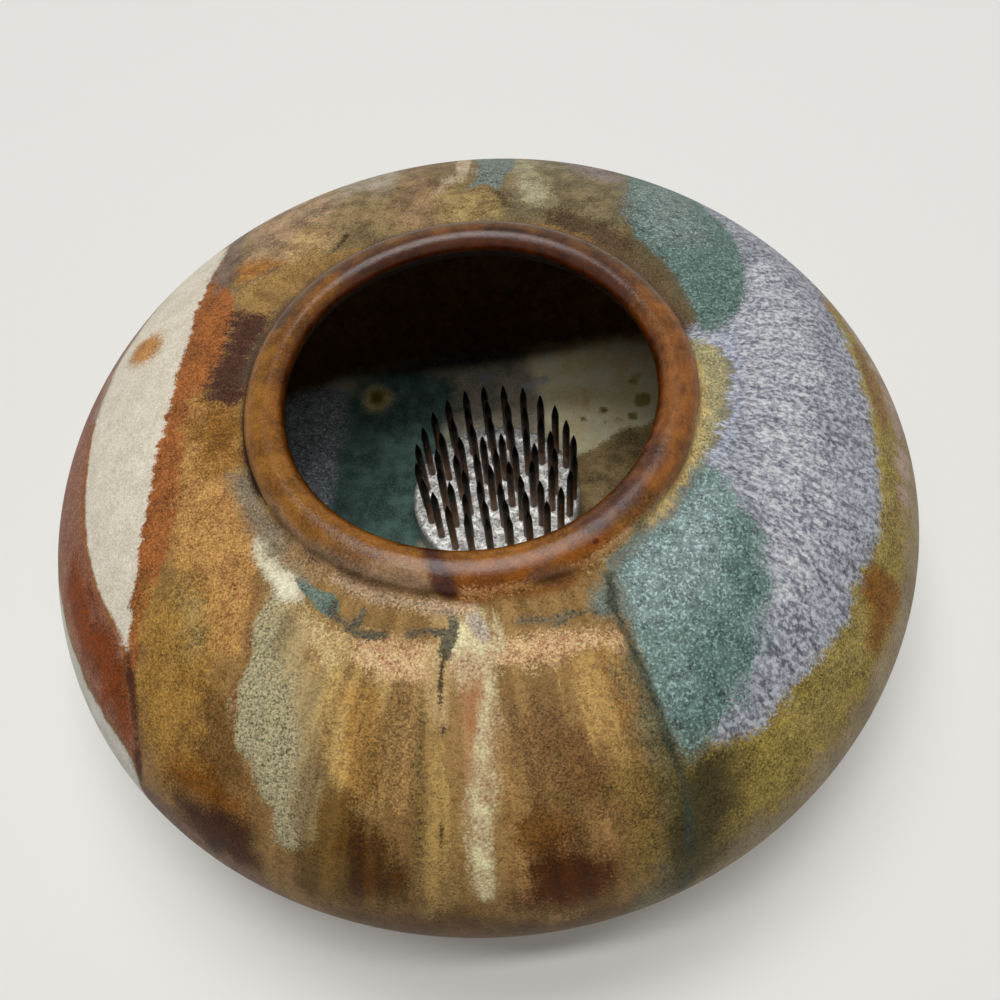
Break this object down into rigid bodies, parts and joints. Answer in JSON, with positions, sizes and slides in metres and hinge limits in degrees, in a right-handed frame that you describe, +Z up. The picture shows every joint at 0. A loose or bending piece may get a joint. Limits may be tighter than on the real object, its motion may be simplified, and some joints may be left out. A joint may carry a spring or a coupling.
{
  "type": "flower frog vase",
  "caption": "Squat round stoneware vase with a rolled lip and poured glazes, and a loose pin frog on its floor that holds cut stems upright.",
  "frame": {"origin": "on the standing surface, under the middle of the foot", "axes": "+Z up along the vase's axis, -Y towards the picture's viewer, +X to the viewer's right"},
  "size_m": [0.152, 0.152, 0.0673],
  "materials": {
    "glaze": "satin",
    "cast_metal": "satin",
    "pin_metal": "satin"
  },
  "bodies": {
    "vase": {"vase_body": "glaze"},
    "flower_frog": {"frog_base": "cast_metal", "second_pin_01": "pin_metal", "second_pin_02": "pin_metal", "second_pin_03": "pin_metal", "second_pin_04": "pin_metal", "second_pin_05": "pin_metal", "second_pin_06": "pin_metal", "second_pin_07": "pin_metal", "second_pin_08": "pin_metal", "second_pin_09": "pin_metal", "second_pin_10": "pin_metal", "second_pin_11": "pin_metal", "second_pin_12": "pin_metal", "third_pin_01": "pin_metal", "third_pin_02": "pin_metal", "third_pin_03": "pin_metal", "third_pin_04": "pin_metal", "third_pin_05": "pin_metal", "third_pin_06": "pin_metal", "third_pin_07": "pin_metal", "third_pin_08": "pin_metal", "third_pin_09": "pin_metal", "third_pin_10": "pin_metal", "third_pin_11": "pin_metal", "third_pin_12": "pin_metal", "third_pin_13": "pin_metal", "third_pin_14": "pin_metal", "third_pin_15": "pin_metal", "third_pin_16": "pin_metal", "third_pin_17": "pin_metal", "third_pin_18": "pin_metal", "outer_pin_01": "pin_metal", "outer_pin_02": "pin_metal", "outer_pin_03": "pin_metal", "outer_pin_04": "pin_metal", "outer_pin_05": "pin_metal", "outer_pin_06": "pin_metal", "outer_pin_07": "pin_metal", "outer_pin_08": "pin_metal", "outer_pin_09": "pin_metal", "outer_pin_10": "pin_metal", "outer_pin_11": "pin_metal", "outer_pin_12": "pin_metal", "outer_pin_13": "pin_metal", "outer_pin_14": "pin_metal", "outer_pin_15": "pin_metal", "outer_pin_16": "pin_metal", "outer_pin_17": "pin_metal", "outer_pin_18": "pin_metal", "outer_pin_19": "pin_metal", "outer_pin_20": "pin_metal", "outer_pin_21": "pin_metal", "outer_pin_22": "pin_metal", "outer_pin_23": "pin_metal", "outer_pin_24": "pin_metal"}
  },
  "joints": [
    {"name": "frog_lift", "type": "slide", "parent": "vase", "child": "flower_frog", "axis": [0, 0, 1], "range_m": [0, 0.075]}
  ]
}
